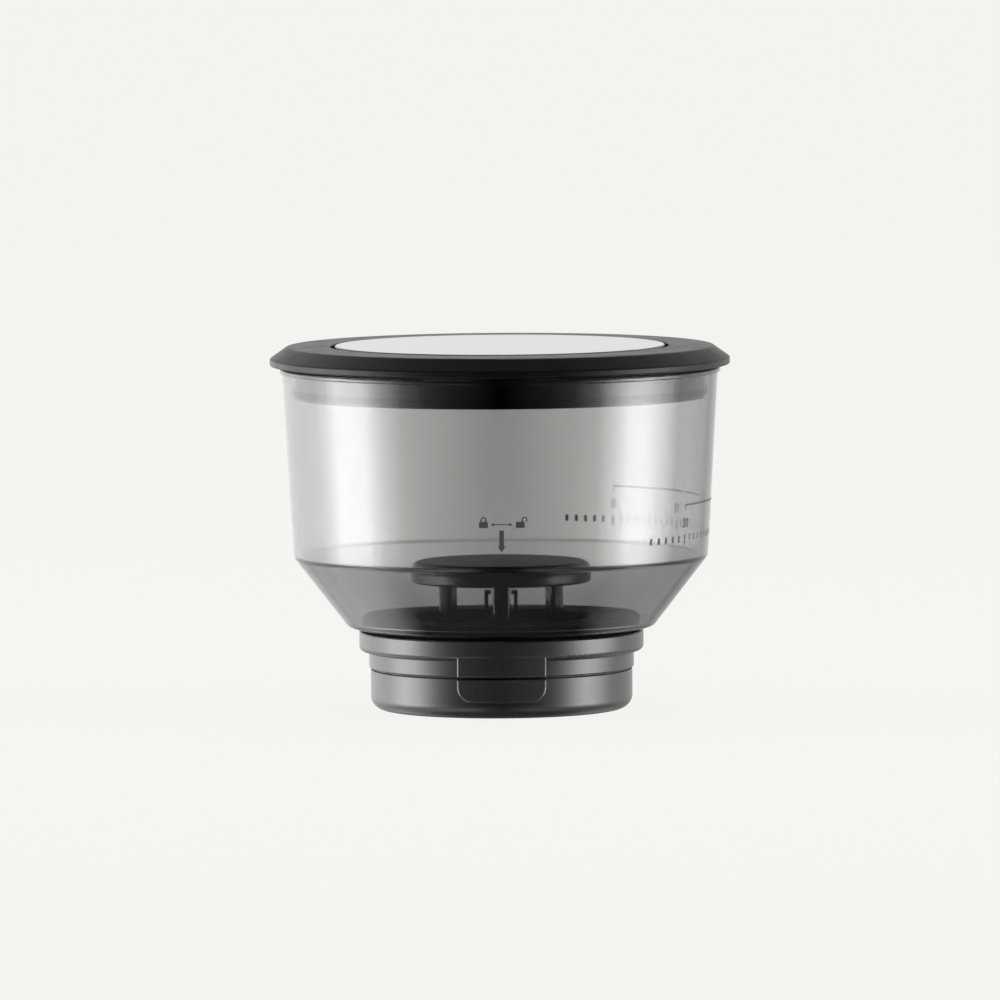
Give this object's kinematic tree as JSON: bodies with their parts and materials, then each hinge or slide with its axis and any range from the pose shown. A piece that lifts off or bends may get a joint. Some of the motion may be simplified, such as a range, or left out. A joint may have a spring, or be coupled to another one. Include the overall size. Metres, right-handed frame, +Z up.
{
  "type": "burr coffee grinder bean hopper",
  "caption": "Round smoke-tinted bean hopper with a lift-off black lid, inset metal disc, inner hood over the outlet, and a keyed dark-grey base whose lower cup turns a bean gate.",
  "frame": {"origin": "centre of the lower cup's flat underside, on the hopper's axis", "axes": "+Z up along the hopper's axis to the lid, -Y to the front where the key tab is, +X to the right"},
  "size_m": [0.15, 0.15, 0.1189],
  "materials": {
    "black_gloss": "glossy moulded",
    "black_matte": "satin moulded",
    "smoke_clear": "smoke-tinted clear",
    "dark_grey": "satin dark grey",
    "black_rubber": "soft matte",
    "lid_soft": "soft-touch black",
    "disc_metal": "brushed",
    "pad_foam": "white bonding tape",
    "nylon": "matte",
    "screw_steel": "zinc-plated",
    "bush_brass": "turned"
  },
  "bodies": {
    "hopper": {"bowl": "smoke_clear", "bowl_gasket": "black_rubber", "collar": "dark_grey", "collar_screws": "screw_steel", "port_plate": "black_matte", "bean_hood": "black_gloss", "hood_screws": "screw_steel", "pivot_screw": "screw_steel", "pivot_washer": "screw_steel", "spring_washer": "screw_steel"},
    "lid": {"lid_shell": "black_matte", "lid_rim": "lid_soft", "lid_disc": "disc_metal", "lid_disc_pad": "pad_foam", "lid_seal": "black_rubber"},
    "gate": {"gate_cup": "dark_grey", "gate_rotor": "black_matte", "pivot_bush": "bush_brass", "gate_screws": "screw_steel", "glide_ring": "nylon"}
  },
  "joints": [
    {"name": "lid_lift", "type": "slide", "parent": "hopper", "child": "lid", "axis": [0, 0, 1], "range_m": [0, 0.09]},
    {"name": "gate_turn", "type": "hinge", "parent": "hopper", "child": "gate", "pos_m": [0, 0, 0], "axis": [0, 0, 1], "range_deg": [0, 60]}
  ]
}
